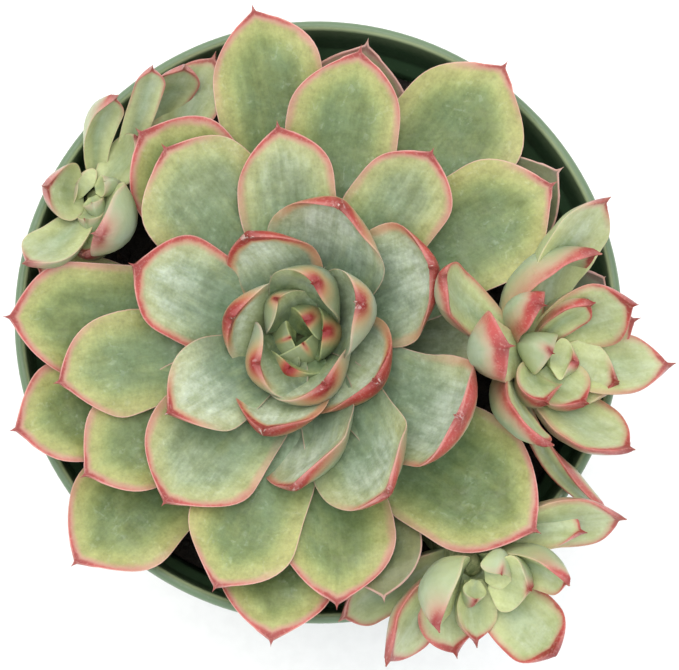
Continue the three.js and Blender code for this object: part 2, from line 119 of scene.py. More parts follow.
class LeafSettings(bpy.types.PropertyGroup):
    thickness: millimetres("Thickness", "Thickness of a leaf at its middle", 4.4)
    edge: millimetres("Edge", "Thickness of the rounded margin", 0.55)
    cup: number("Cup", "How much the upper face is channelled", 0.16, "FACTOR")
    margin_width: millimetres("Red margin", "Width of the red margin", 0.42)
    mature: colour("Mature leaf", "Face of an old leaf", "#5d6d38")
    deep: colour("Deep green", "Root and rubbed parts of an old leaf", "#65815c")
    young: colour("Young leaf", "Middle of a young leaf's face", "#9aad95")
    # Painted shadow: the root of a young leaf, tucked under the leaves above it, painted dark.
    painted_root_shadow: colour("Young root", "Root of a young leaf", "#35463c")
    # Painted shadow: the bud's leaves painted dark for the shadow deep in the heart.
    heart: colour("Heart", "Youngest leaves in the bud", "#3f502f")
    offset: colour("Offset leaf", "Leaf of an offset", "#9db485")
    cream: colour("Cream", "Broad pale edge of an offset's leaf", "#bac285")
    spring: colour("Spring green", "Yellower green towards the margin", "#919c5c")
    lime: colour("Lime", "Yellow green beside the margin", "#a0a064")
    orange: colour("Orange", "Where the red fades out on a young leaf", "#b98a5e")
    salmon: colour("Salmon", "Where the red fades out on an old leaf", "#b9857a")
    pale_edge: colour("Pale edge", "Grey green beside the margin of a young leaf", "#979d71")
    margin: colour("Margin", "Salmon red margin", "#b03e40")
    scarlet: colour("Scarlet", "Deeper red margin of a young leaf", "#9e2b2c")
    # Painted highlight: the pale outermost line of the margin, where light catches it.
    rim: colour("Rim", "Pale outermost line of the margin", "#cba096")
    crust: colour("Crust", "Dried wax on a rubbed tip", "#dccfca")
    tip: colour("Tip", "Crimson of the tip", "#80121f")
    back: colour("Back", "Back of a leaf", "#8c9c78")
    bloom: colour("Bloom", "Waxy bloom", "#c8d2c7")
    dull: colour("Withering leaf", "Lowest leaves, drying up", "#4b5548")
    stem: colour("Stem", "Corky skin of a stem", "#66724a")
    scar: colour("Leaf scars", "Paler scars round a stem", "#8f9468")


class StageSettings(bpy.types.PropertyGroup):
    camera_tilt: number("Camera tilt", "Away from straight down", math.radians(8), "ANGLE")
    camera_side: number("Camera side", "Direction of the tilt", math.radians(252), "ANGLE")
    camera_distance: millimetres("Camera distance", "Distance to the pot's lip", 560)
    key_strength: number("Key light", "Power of the light", 8, "POWER")
    sky_strength: number("Sky", "Strength of the sky", 1.25)
    key: colour("Key light colour", "Soft daylight, a little warm", "#fffaf2")
    sky: colour("Sky colour", "White, a little cool", "#fafbff")
    paper: colour("Paper", "White studio paper", "#f7f7f6")
    paper_fibre: colour("Paper fibre", "Lightest fibres of the paper", "#fbfbfa")


# Leaves
# Each row is direction, reach and width, youngest leaf first, in degrees and millimetres.
# Form: lift is the mean elevation, curl how much the leaf curves up, sweep its sideways bend
# and roll its twist at the tip, all in degrees. drop lowers it and point is the length of its
# drawn-out tip, in millimetres. blunt makes fuller shoulders and cup a deeper channel.
# Colour: blush widens and lengthens the red, flush carries it onto the back, dull withers.


def leaf(direction, reach, width, **extra):
    shape = {"sweep": 0, "roll": 0, "drop": 0, "cup": None, "blunt": 2.4, "point": 1.2}
    shape.update(blush=1.0, flush=0.25, dull=0)
    shape.update(direction=direction, reach=reach, width=width, **extra)
    return shape


MAIN_LEAVES = [
    leaf(180, 1.2, 10.5, lift=70, curl=60, sweep=20, roll=10, cup=0.12, point=0.3, blush=0.7),
    leaf(68, 2.4, 8.5, lift=81, curl=68, sweep=-10, roll=-32, cup=0.13, point=0.4, blush=0.72),
    leaf(305, 1.2, 10, lift=76, curl=50, cup=0.15, point=0.4, blush=0.72),
    leaf(10, 4, 10, lift=76, curl=76, sweep=-25, roll=3, cup=0.17, point=0.6, blush=0.74),
    leaf(256, 5.5, 11, lift=54, curl=65, sweep=-59, roll=9, cup=0.17, point=0.6, blush=0.78),
    leaf(122, 7.5, 10.5, lift=56, curl=17, sweep=56, roll=8, drop=-0.5, cup=0.33, blush=0.75),
    leaf(218, 8.5, 14.5, lift=58, curl=68, sweep=-56, roll=-7, drop=-1, cup=0.23, blush=0.85),
    leaf(294, 9.5, 17, lift=66, curl=60, sweep=31, roll=6, drop=1.5, cup=0.23, blush=0.88),
    leaf(75, 7.5, 14, lift=81, curl=58, sweep=-67, roll=10, drop=2, cup=0.29, blush=0.88),
    leaf(25, 10, 15.5, lift=77, curl=70, sweep=-34, roll=-4, drop=1.5, cup=0.35),
    leaf(168, 12, 16, lift=51, curl=59, sweep=53, roll=-50, cup=0.16, blush=1.05),
    leaf(327, 15, 20, lift=57, curl=84, sweep=-31, roll=9, cup=0.2, blush=1.25),
    leaf(250, 18.5, 17, lift=40, curl=49, sweep=-33, roll=32, drop=0.5, cup=0.26, blush=1.2),
    leaf(119, 19.5, 17, lift=39, curl=49, sweep=60, roll=-55, drop=-0.8, cup=0.05, blush=1.25),
    leaf(73, 21.5, 22, lift=59, curl=102, sweep=30, roll=-29, drop=-1.5, cup=0.32, blush=1.2),
    leaf(26, 24.5, 21, lift=54, curl=102, sweep=-28, drop=-1.5, blunt=3, cup=0.25, flush=1, blush=1.35),
    leaf(267, 27.5, 19, lift=33, curl=48, sweep=-71, roll=73, cup=0.21, blush=1.25),
    leaf(212, 27.5, 16.5, sweep=6, blush=0.8),
    leaf(
        329, 30, 21.5, lift=62, curl=104, sweep=20, roll=-8, drop=-1.2, blunt=4,
        cup=0.2, flush=2.2, blush=1.3,
    ),
    leaf(297, 32, 20, lift=46, curl=66, sweep=-20, roll=42, drop=-0.9, cup=0.25, flush=0.8),
    leaf(158, 32, 18.5, drop=0.8, blunt=3, blush=1.5),
    leaf(96, 37.5, 17.5, sweep=10),
    leaf(232, 38.5, 22, sweep=5, blunt=3, blush=1.4),
    leaf(54, 40, 17.5, lift=24, curl=24, sweep=8, blunt=3),
    leaf(126, 41, 23, sweep=12, blunt=4.5, blush=0.7),
    leaf(192, 43.5, 18, sweep=18),
    leaf(128, 46.5, 22, sweep=25, drop=3, blunt=3.2, blush=1.4),
    leaf(214, 45.5, 18.5, sweep=5),
    leaf(252, 47.5, 19.5, sweep=-20, drop=-1.5, blush=0.8),
    leaf(278, 48.5, 20, sweep=-22, drop=-0.2, blush=1.3),
    leaf(288, 49, 16, sweep=-30, drop=1.8, dull=0.6, blush=0.3),
    leaf(78, 52.5, 20),
    leaf(177, 51.5, 21, sweep=8, blush=1.1),
    leaf(31, 53, 22, sweep=-5, blush=0.8),
    leaf(320, 54.5, 24.5, lift=18, sweep=10, drop=-0.2, blush=1.2),
    leaf(77, 55, 20, drop=3.8, dull=0.6),
    leaf(199, 53, 19, blush=1.2),
    leaf(33, 56, 20, drop=3, dull=0.75, blush=0.4),
    leaf(265, 54.5, 20, blush=1.4),
    leaf(226, 56.5, 21, blush=0.9),
    leaf(98, 59.5, 20, sweep=14, drop=-0.2),
    leaf(53, 61.5, 24, blush=0.8),
    leaf(164, 49, 10, lift=10, curl=14, drop=2.2),
    leaf(0, 35, 17, drop=4, blush=1.3),
]
RIGHT_LEAVES = [
    leaf(356, 4, 7.5, lift=62, curl=94, roll=-22, drop=-1, cup=0.17, point=0.5, blush=0.7),
    leaf(150, 1, 8.5, lift=88, curl=50, cup=0.2, point=0.5, blush=0.6),
    leaf(247, 9, 9, lift=48, curl=20, sweep=40, roll=35, cup=0.3, blush=0.9),
    leaf(304, 9.5, 11, lift=48, curl=40, sweep=-5, drop=-0.8, cup=0.15),
    leaf(340, 11, 12, lift=56, curl=74, drop=-1.2, cup=0.08, blush=0.7),
    leaf(176, 16, 12.5, lift=62, curl=83, sweep=-11, roll=31, cup=0.13, flush=0.8, blush=1.2),
    leaf(121, 10, 9, lift=62, curl=70, sweep=10, roll=30, cup=0.23, flush=0.6, blush=1.1),
    leaf(66, 10.5, 7, lift=56, curl=20, sweep=-28, roll=25, cup=0.29, blush=1.3),
    leaf(43, 14, 13.5, lift=57, curl=33, sweep=-49, roll=22, cup=0.14, blush=1.2),
    leaf(24, 19, 10, drop=-1.5, blush=1.1),
    leaf(73, 19.5, 13, lift=40, curl=35, sweep=-115, roll=80, drop=2.5, cup=0.29, blush=1.3),
    leaf(359, 21, 12.5, lift=41, curl=-10, sweep=28, roll=-54, drop=0.5, cup=0.21, blush=1.15),
    leaf(304, 19, 13, lift=50, curl=33, sweep=33, roll=-24, cup=0.18, blush=1.3),
    leaf(245, 17, 10, lift=50, curl=23, sweep=87, roll=-35, cup=0.11, blush=1.3),
    leaf(148, 25.5, 10.5, lift=21, curl=66, sweep=7, roll=25, drop=-2.1, cup=0.18, blush=1.15),
    leaf(77, 29, 12.5, lift=28, curl=28, sweep=-32, roll=18, drop=-3, cup=0.22, blush=0.6),
    leaf(46, 21, 12, drop=2.5, blunt=3, point=0.3, dull=0.8, blush=1.2),
    leaf(292, 29.5, 4, lift=22, curl=-6, sweep=79, roll=99, cup=0.23, flush=0.8, blush=2.4),
]
LOWER_LEAVES = [
    leaf(257, 3.7, 4.5, point=0.5, blush=0.6),
    leaf(35, 3.1, 7.5, lift=64, curl=60, sweep=60, roll=14, drop=-1.5, cup=0.24, point=0.6, blush=0.6),
    leaf(356, 7.5, 11, lift=50, curl=45, roll=10, drop=-2, cup=0.22, point=0.8, blush=0.5),
    leaf(270, 12.5, 8, lift=28, curl=-3, roll=-21, cup=0.28, blush=0.7),
    leaf(208, 11.5, 13.5, lift=50, curl=8, sweep=87, roll=-70, cup=0.21, blush=0.7),
    leaf(256, 15, 11.5, lift=31, curl=52, sweep=40, roll=40, cup=0.19),
    leaf(
        317, 14.5, 12.5, lift=63, curl=70, sweep=22, roll=-17, blunt=3.2, cup=0.06,
        point=0.5, blush=1.3,
    ),
    leaf(12, 12.5, 7.5, lift=60, curl=41, sweep=-20, roll=27, cup=0.48),
    leaf(226, 22.5, 12, lift=20, curl=25, sweep=-7, roll=-32, cup=0.06, blush=1.3),
    leaf(22, 20.5, 7.5, lift=26, curl=39, sweep=-34, roll=-60, drop=1, cup=0.24),
    leaf(22, 27.5, 11.5, lift=23, curl=21, sweep=-18, roll=21, drop=1.4, cup=0.13, blush=1.1),
    leaf(206, 25, 9, lift=8, curl=14, drop=2, dull=0.25),
]
UPPER_LEFT_LEAVES = [
    leaf(12, 3.4, 4, point=0.3, blush=0.1),
    leaf(290, 2.9, 4, point=0.3, blush=0.3),
    leaf(147, 2.6, 8, lift=50, curl=40, sweep=30, roll=15, cup=0.05, point=0.3, blush=0.2),
    leaf(271, 6, 5, blush=0.4),
    leaf(290, 12, 14, lift=49, curl=40, sweep=-96, roll=89, cup=0.15, blush=0.7),
    leaf(44, 12.5, 9.5, lift=36, curl=69, sweep=-9, roll=-28, drop=-1, cup=0.14, blush=0.4),
    leaf(190, 6.5, 10.5, lift=63, curl=0, sweep=9, roll=-42, drop=-1.6, cup=0.3),
    leaf(242, 18, 9.5, lift=36, curl=16, sweep=-26, roll=9, drop=-1.5, blunt=3, cup=0.2, blush=0.5),
    leaf(269, 12.5, 9, drop=0.5, blush=1.1),
    leaf(65, 16.5, 6, lift=39, curl=1, sweep=-87, roll=100, drop=-0.3, cup=0.39),
    leaf(52, 23.5, 5.5, lift=42, curl=27, sweep=-10, roll=60, drop=1.5, cup=0.24),
    leaf(49, 27.5, 7.5, lift=34, curl=71, sweep=-57, roll=75, drop=0.5, cup=0.14, blush=1.1),
    leaf(48, 33.5, 11, sweep=25, drop=3.2),
]


# Rosettes
# crown is the middle of the lowest leaves and foot the stem's place in the soil; stem is the
# stem's radius. lean tips the whole rosette towards lean_to, in degrees. top is how far above
# the crown the first leaf starts, and drop how much lower the last one does. A leaf without
# its own lift and curl gets them from its reach: the least, what is added in the middle, and
# how fast that fades. Leaves within bud are the heart, and those beyond youth look older.


def rosette(leaves, crown, foot, stem, **changes):
    shape = {"lean_to": 0, "lean": 0, "dull": 0, "youth": 0, "bud": 2, "top": 8, "drop": 7}
    shape.update(lift=(12, 58, 14), curl=(14, 66, 10))
    shape.update(leaves=leaves, crown=crown, foot=foot, stem=stem, **changes)
    return shape


ROSETTES = {
    "main_rosette": rosette(
        MAIN_LEAVES, (-4, -4.2, 78), (-4, -4.2), 6, youth=8, bud=13, top=12, drop=10,
        lift=(11, 58, 22), curl=(12, 70, 14),
    ),
    "offset_rosette_right": rosette(
        RIGHT_LEAVES, (34.5, -7, 86), (33, -6.5), 3.6, lean_to=350, lean=32
    ),
    "offset_rosette_lower": rosette(
        LOWER_LEAVES, (25, -42, 89), (20.5, -36), 3.4, lean_to=298, lean=34
    ),
    "offset_rosette_upper_left": rosette(
        UPPER_LEFT_LEAVES, (-38.5, 20.5, 82), (-37, 19.5), 3.2, lean_to=150, lean=20, dull=0.16
    ),
}


# Pieces


def add_piece(name, verts, faces, material, node, attributes=None):
    mesh = bpy.data.meshes.new(name)
    mesh.from_pydata((np.asarray(verts) * MM).tolist(), [], faces)
    mesh.update()
    mesh.shade_smooth()
    for key, values in (attributes or {}).items():
        values = np.asarray(values, dtype=np.float32)
        kind, field = ("FLOAT", "value") if values.ndim == 1 else ("FLOAT_VECTOR", "vector")
        layer = mesh.attributes.new(key, kind, "POINT")
        layer.data.foreach_set(field, values.ravel())
    mesh.materials.append(material)
    piece = add_object(name, mesh)
    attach(piece, "root")
    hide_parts(node)
    return piece


def add_object(name, data):
    made = bpy.data.objects.new(name, data)
    bpy.context.scene.collection.objects.link(made)
    return made


def side_faces(rows, columns, start=0):
    """Four-sided faces between rings of points that lie one after the other."""
    faces = []
    for i in range(rows - 1):
        for j in range(columns):
            a = start + i * columns + j
            b = start + i * columns + (j + 1) % columns
            faces.append((a, b, b + columns, a + columns))
    return faces


def skin_faces(rows, columns, start=0):
    """Faces of a closed tube of rings, with one flat face at each end."""
    last = start + (rows - 1) * columns
    first_end = tuple(reversed(range(start, start + columns)))
    last_end = tuple(range(last, last + columns))
    return [*side_faces(rows, columns, start), first_end, last_end]


def smooth(x):
    """Eases from 0 to 1."""
    x = np.clip(x, 0, 1)
    return x * x * (3 - 2 * x)


# Materials

LEAF_MATERIAL = "echeveria leaf skin with waxy bloom"
STEM_MATERIAL = "corky succulent stem"


class Value:
    """A number or colour that varies over a surface; calculating with it adds nodes."""

    def __init__(self, tree, socket):
        self.tree = tree
        self.socket = socket

    def __add__(self, other):
        return add_node(self.tree, "Math", {0: self, 1: other}, operation="ADD")

    def __sub__(self, other):
        return add_node(self.tree, "Math", {0: self, 1: other}, operation="SUBTRACT")

    def __rsub__(self, other):
        return add_node(self.tree, "Math", {0: other, 1: self}, operation="SUBTRACT")

    def __mul__(self, other):
        return add_node(self.tree, "Math", {0: self, 1: other}, operation="MULTIPLY")

    def __abs__(self):
        return add_node(self.tree, "Math", {0: self}, operation="ABSOLUTE")

    def most(self, other):
        """The greater of two values."""
        return add_node(self.tree, "Math", {0: self, 1: other}, operation="MAXIMUM")

    def band(self, start, end, low=0, high=1):
        """Goes smoothly from low to high where this value goes from start to end."""
        inputs = {0: self, 1: start, 2: end, 3: low, 4: high}
        return add_node(self.tree, "MapRange", inputs, interpolation_type="SMOOTHSTEP")


def add_node(tree, kind, inputs, output=0, **settings):
    """Adds one node with its settings; an input that is a Value is linked to it."""
    node = tree.nodes.new("ShaderNode" + kind)
    for key, setting in settings.items():
        setattr(node, key, setting)
    for key, given in inputs.items():
        if isinstance(given, Value):
            tree.links.new(given.socket, node.inputs[key])
        else:
            node.inputs[key].default_value = given
    return Value(tree, node.outputs[output]) if node.outputs else None


def new_material(name):
    """An empty material, and the place on the piece that its patterns keep to."""
    material = bpy.data.materials.new(name)
    material.use_nodes = True
    material.node_tree.nodes.clear()
    return material, add_node(material.node_tree, "TexCoord", {}, "Object")


def grain(place, lump_mm, detail=3, roughness=0.55, stretch=(1, 1, 1)):
    """Cloudy pattern whose lumps are about so many millimetres wide."""
    stretched = add_node(place.tree, "Mapping", {"Vector": place, "Scale": stretch})
    scale = 1 / (lump_mm * MM)
    inputs = {"Vector": stretched, "Scale": scale, "Detail": detail, "Roughness": roughness}
    return add_node(place.tree, "TexNoise", inputs, "Fac")


def paint(base, *coats):
    """Lays coats over a base colour one by one, each a colour and its amount from 0 to 1."""
    for over, amount in coats:
        inputs = {0: amount, 6: base, 7: over}
        base = add_node(amount.tree, "Mix", inputs, 2, data_type="RGBA")
    return base


def finish(material, skin, roughness, ior, relief=(), flesh=()):
    """Ends a material. relief is a pattern, its depth in millimetres and its strength."""
    tree = material.node_tree
    inputs = {"Base Color": skin, "Roughness": roughness, "IOR": ior, **dict(flesh)}
    if relief:
        pattern, depth_mm, strength = relief
        bump = {"Height": pattern, "Strength": strength, "Distance": depth_mm * MM}
        inputs["Normal"] = add_node(tree, "Bump", bump)
    surface = add_node(tree, "BsdfPrincipled", inputs)
    add_node(tree, "OutputMaterial", {"Surface": surface})
    return material


# Leaf skin
# A leaf's points carry margin_mm and tip_mm, the distances to its outline and its tip; along,
# from 0 at the root to 1 at the tip; and back, which is 1 on its underside. The whole leaf has
# age, heart, offset and dull, from 0 to 1, and its blush and flush. flat is the place on the
# leaf rolled out flat, so that its streaks run lengthwise.

POINT_FACTS = ("margin_mm", "tip_mm", "along", "back")
LEAF_FACTS = ("age", "heart", "offset", "dull", "blush", "flush")


def leaf_values(place):
    """The facts of a leaf and the patterns on its skin, each with its size in millimetres."""
    flat = add_node(place.tree, "Attribute", {}, "Vector", attribute_name="flat")
    leaf = SimpleNamespace()
    for name in POINT_FACTS + LEAF_FACTS:
        setattr(leaf, name, add_node(place.tree, "Attribute", {}, "Fac", attribute_name=name))
    leaf.ridge = (1 - leaf.age) * (1 - leaf.heart) * (1 - leaf.offset)
    leaf.broad = grain(place, 7)
    leaf.cloud = grain(place, 3, 5, 0.62)
    leaf.dents = grain(place, 2.4, 2, 0.4)
    leaf.grit = grain(place, 1.2, 3, 0.6)
    leaf.speck = grain(place, 0.8, 2, 0.5)
    # The grains of the wax are far finer than this, and are drawn as coarse as they need to show.
    leaf.fine = grain(place, 0.5)
    leaf.stain = grain(flat, 4, 4, 0.65, (0.5, 1, 1))
    leaf.crease = grain(flat, 3, 2, 0.5, (0.6, 1, 1))
    leaf.streak = grain(flat, 1.4, 3, 0.6, (0.16, 1, 1))
    return leaf


def leaf_green(leaf, settings):
    """Young leaves darker towards the root, as painted shadow under the leaves above; old leaves
    yellower, young leaves bluer, the bud painted dark as painted shadow.
    """
    old = paint(settings.deep, (settings.mature, leaf.along.band(0.3, 0.85)))
    # Painted shadow: a young leaf's root painted dark, where the leaves above cover it.
    young = paint(settings.painted_root_shadow, (settings.young, leaf.along.band(0.35, 0.8)))
    return paint(
        young,
        (old, leaf.age),
        (settings.offset, leaf.offset * 0.8),
        # Painted shadow: the bud painted dark.
        (settings.heart, leaf.heart),
        (settings.deep, leaf.broad.band(0.4, 0.64) * 0.34),
        (settings.spring, leaf.stain.band(0.48, 0.68) * 0.24),
    )


def leaf_glow(leaf):
    """Amounts of spring green, of more of it at an offset's tips, and of the palest green:
    a glow that widens from the root to the tip and follows the margin."""
    near_tip = leaf.tip_mm.band(15, 5) * (1 - leaf.heart)
    offset_tip = leaf.offset * near_tip
    from_root = leaf.along - (1 - leaf.age) * 0.1
    reach = from_root.band(0.4, 0.8, 0.06, 0.95).most(leaf.offset * 0.9)
    glow = (leaf.margin_mm.band(7, 2.2) * reach).most(near_tip * (1 - leaf.age * 0.75))
    spring = glow * (1 - leaf.heart * 0.4)
    palest = leaf.margin_mm.band(4.6, 1) * reach * (1 - leaf.heart * 0.35)
    return spring, offset_tip * 0.5, palest * (1 - offset_tip * 0.6)


def leaf_bloom(leaf, palest):
    """Amount of wax: at the root of old leaves and the tip of young ones, wiped in streaks."""
    oldness = leaf.age * leaf.age
    young = leaf.along.band(0.4, 0.9, 0.08, 0.85) * (1 - oldness.most(leaf.offset * 0.85))
    old = leaf.along.band(0.6, 0.2, 0.04, 0.4) * oldness
    bloom = (young + old) * (1 - leaf.heart * 0.8) + leaf.offset * 0.2
    bloom = bloom * leaf.cloud.band(0.3, 0.64, 0.55, 1)
    bloom = bloom * leaf.streak.band(0.36, 0.62, 0.72, 1.1)
    return bloom * (1 - palest * 0.5)


def leaf_scratches(leaf):
    """Amount of scratch: thin wavering lines, here and there, through the bloom."""
    line = abs(leaf.crease - 0.5).band(0.05, 0.005)
    return line * leaf.grit.band(0.48, 0.6) * leaf.broad.band(0.46, 0.54)


def mottled(leaf, face):
    """Darkens and lightens a face in mottles, less so on an offset."""
    mottle = leaf.cloud * 0.5 + leaf.fine * 0.45 + (leaf.grit + leaf.streak) * 0.45
    tone = (mottle - 0.925) * (0.95 - leaf.offset * 0.4) + 1
    inputs = {0: 1.0, 6: face, 7: tone}
    return add_node(tone.tree, "Mix", inputs, 2, data_type="RGBA", blend_type="MULTIPLY")


def leaf_both_sides(leaf, settings, scratches):
    """Green of a leaf's face and back, with glow, bloom and scratches."""
    spring, offset_spring, palest = leaf_glow(leaf)
    bloom = leaf_bloom(leaf, palest)
    edge = paint(
        settings.pale_edge,
        (settings.lime, leaf.age),
        (settings.cream, leaf.offset),
        (settings.spring, leaf.heart),
    )
    face = paint(
        leaf_green(leaf, settings),
        (settings.spring, spring),
        (settings.spring, offset_spring),
        (edge, palest),
        (settings.bloom, bloom),
        (settings.deep, leaf.speck.band(0.6, 0.74) * 0.14),
        (settings.bloom, scratches * 0.09),
    )
    back = paint(
        settings.back,
        # Painted shadow: the backs of the bud's leaves painted dark too.
        (settings.heart, leaf.heart * 0.8),
        (settings.bloom, (bloom * 0.8).most(leaf.ridge * 0.65)),
        (edge, palest * 0.5),
    )
    return paint(mottled(leaf, face), (back, leaf.back))


def margin_distance(leaf, settings):
    """Millimetres from the red margin's inner edge, which wavers and widens at the tip."""
    tip_width = (1 - (leaf.age * 0.5 + leaf.heart * 0.7)) * leaf.blush
    width = leaf.blush * (settings.margin_width / MM) + (leaf.cloud - 0.5) * 1.2
    width = width + leaf.ridge * 0.3 + leaf.tip_mm.band(7, 1) * tip_width
    width = width + leaf.back * leaf.flush
    return (leaf.margin_mm - width) * (1 - leaf.back * 0.5)


def red_margin(leaf, skin, settings):
    """Red margin: orange where it fades into the green, crimson at the tip."""
    inward = margin_distance(leaf, settings)
    run_mm = (leaf.age * 8 + 7 + (leaf.offset * 5 + leaf.heart * 2)) * (leaf.blush * leaf.blush)
    warm = leaf.age.most(leaf.offset * 0.85)
    orange = inward.band(1.3, 0, 0, 0.85) * leaf.tip_mm.band(run_mm * 1.5, run_mm * 0.6)
    orange = orange * (1 - leaf.heart.most(leaf.offset) * 0.35)
    red = inward.band(0.35, -0.4, 0, 0.95) * leaf.tip_mm.band(run_mm, run_mm * 0.35)
    red = red * (1 - leaf.age * 0.15)
    fading = paint(settings.orange, (settings.salmon, warm))
    full_red = paint(
        settings.scarlet,
        (settings.margin, warm),
        (settings.tip, leaf.tip_mm.band(5, 1)),
        (settings.tip, leaf.cloud.band(0.46, 0.66) * 0.4),
        (settings.rim, leaf.fine.band(0.5, 0.7) * (1 - leaf.heart * 0.8) * 0.28),
    )
    return paint(skin, (fading, orange), (full_red, red))


def worn_and_highlit_edges(leaf, skin, settings):
    """Dried wax on rubbed tips, a painted highlight along the margin's outermost edge, and withering.
    """
    crust = leaf.tip_mm.band(3.2, 1.2) * leaf.grit.band(0.56, 0.64) * (leaf.ridge * 0.8)
    # Painted highlight along the margin's outermost edge: faint at the tip, fainter on offsets and
    # young leaves, none in the bud.
    rim = leaf.margin_mm.band(0.27, 0.06) * leaf.tip_mm.band(0.8, 4, 0.1, 0.75)
    rim = rim * (1 - leaf.offset * 0.7) * (1 - leaf.heart.most(leaf.ridge * 0.8))
    return paint(
        skin,
        (settings.crust, crust),
        (settings.rim, rim),
        (settings.dull, leaf.dull),
        # A wider pale edge on withering leaves: partly their dried margin, partly painted highlight.
        (settings.rim, leaf.margin_mm.band(0.45, 0.2) * leaf.dull),
    )


def leaf_skin(settings):
    """Succulent leaf skin, grown, with a waxy bloom: matt and soft, a little light
    passes into the flesh, and rubbed places are greener and shinier."""
    material, place = new_material(LEAF_MATERIAL)
    leaf = leaf_values(place)
    scratches = leaf_scratches(leaf)
    skin = leaf_both_sides(leaf, settings, scratches)
    skin = red_margin(leaf, skin, settings)
    skin = worn_and_highlit_edges(leaf, skin, settings)
    dents = leaf.dents + leaf.streak * 0.3 + leaf.fine * 0.1 + scratches * 0.08
    roughness = leaf.cloud.band(0.35, 0.7, 0.32, 0.5)
    flesh = {
        "Subsurface Weight": 0.1,
        "Subsurface Radius": (1.0, 0.75, 0.3),
        "Subsurface Scale": 1.2 * MM,
    }
    return finish(material, skin, roughness, ior=1.42, relief=(dents, 0.4, 0.6), flesh=flesh)


# Other materials


def pot_plastic(settings):
    """Thermoformed polypropylene, dark green, with fine scuffs and dried water marks. The top of
    the lip is painted paler, as lit from above, with a painted highlight along its inner corner."""
    material, place = new_material("thermoformed green polypropylene")
    lip = add_node(place.tree, "Attribute", {}, "Fac", attribute_name="lip")
    lip_highlight_line = add_node(place.tree, "Attribute", {}, "Fac", attribute_name="lip_highlight_line")
    flow = grain(place, 18, 3, 0.5, (1, 1, 0.3))
    dust = grain(place, 1.2, 4, 0.6)
    scuff = grain(place, 0.8, 2, 0.5, (1, 1, 0.12))
    skin = paint(
        settings.plastic,
        # Painted light: the top of the lip painted paler, as lit from above.
        (settings.lit_lip_and_flow_green, lip),
        # Painted highlight along the lip's inner corner.
        (settings.lip_highlight_green, lip_highlight_line * 0.8),
        (settings.lit_lip_and_flow_green, flow.band(0.4, 0.7) * 0.25),
        (settings.water_mark, dust.band(0.62, 0.75) * 0.22),
    )
    roughness = dust.band(0.3, 0.8, 0.3, 0.52)
    return finish(material, skin, roughness, ior=1.49, relief=(scuff, 0.1, 0.2))


def peat_soil(name, dark, light):
    """Moist peat and composted bark, sieved: nearly black and dull, each crumb a little
    different in brown."""
    material, place = new_material(name)
    lump = grain(place, 2.5, 4, 0.65)
    grit = grain(place, 0.6, 3, 0.6)
    skin = paint(dark, (light, lump.band(0.4, 0.7)))
    roughness = grit.band(0.3, 0.7, 0.75, 0.95)
    return finish(material, skin, roughness, ior=1.4, relief=(grit, 0.4, 0.8))


def stem_bark(settings):
    """Old stem of a succulent, grown: dull grey brown skin between pale leaf scars."""
    material, place = new_material(STEM_MATERIAL)
    rings = grain(place, 1.5, 3, 0.6, (1, 1, 2.5))
    skin = paint(settings.stem, (settings.scar, rings.band(0.4, 0.65)))
    return finish(material, skin, roughness=0.8, ior=1.4, relief=(rings, 0.3, 0.6))


def white_paper(settings):
    """Studio paper, rolled: matt white with the faintest fibre."""
    material, place = new_material("white studio paper")
    fibre = grain(place, 3)
    skin = paint(settings.paper, (settings.paper_fibre, fibre.band(0.3, 0.7)))
    return finish(material, skin, roughness=0.9, ior=1.5)


# Leaf form
# In millimetres. s runs along the leaf from its root, u across it from -1 to 1.

LINE_STEPS = 160
LEAF_START = 2.0
ROOT_WIDTH_SHARE = 0.42
TAPER_LENGTH_SHARE = 0.62
LEAST_WIDEST = 0.45
BLADE_ROWS = 15
SHOULDER_ROWS = 17
POINT_ROWS = 6
FACE_COLUMNS = 23
BACK_COLUMNS = 17
OUTLINE_POINTS = 260
SMALL_WIDTH = 12.0
SMALL_LENGTH = 14.0
AGEING_REACH = 40
HEART_FADE = 8
LEAVES_APART = 40.0
# Waves and ripples: height in millimetres, the margin's as a share of the leaf's width, and
# rate along the leaf in radians a millimetre.
MARGIN_WAVE, MARGIN_RATE = 0.018, 0.33
LONG_RIPPLE, LONG_RATE = 0.16, 0.42
SHORT_RIPPLE, SHORT_RATE = 0.09, 0.95
FLUTTER, FLUTTER_RATE = 0.25, 0.5


def middle_line(reach, height, low, high, sweep):
    """The leaf's middle line, its tip on the leaf's direction at the wanted reach."""
    t = np.linspace(0, 1, LINE_STEPS + 1)
    late_curl = 1.2 + (high - low) / 80
    elevation = np.radians(low + (high - low) * t**late_curl)
    heading = np.radians(sweep) * (t - 0.5)

    def run(rate):
        return np.concatenate([[0], np.cumsum((rate[1:] + rate[:-1]) / 2) / LINE_STEPS])

    x = run(np.cos(elevation) * np.cos(heading))
    y = run(np.cos(elevation) * np.sin(heading))
    z = run(np.sin(elevation))
    turn = math.atan2(y[-1], x[-1])
    start = min(LEAF_START, 0.3 * reach)
    length = (reach - start) / math.hypot(x[-1], y[-1])
    out = start + length * (x * math.cos(turn) + y * math.sin(turn))
    aside = length * (y * math.cos(turn) - x * math.sin(turn))
    points = np.stack([out, aside, height + length * z], axis=1)
    return t * length, points, elevation, heading - turn


def widest_share(length, shape):
    """Where the leaf is widest, as a share of its length."""
    return max(1 - TAPER_LENGTH_SHARE * shape["width"] / length, LEAST_WIDEST)


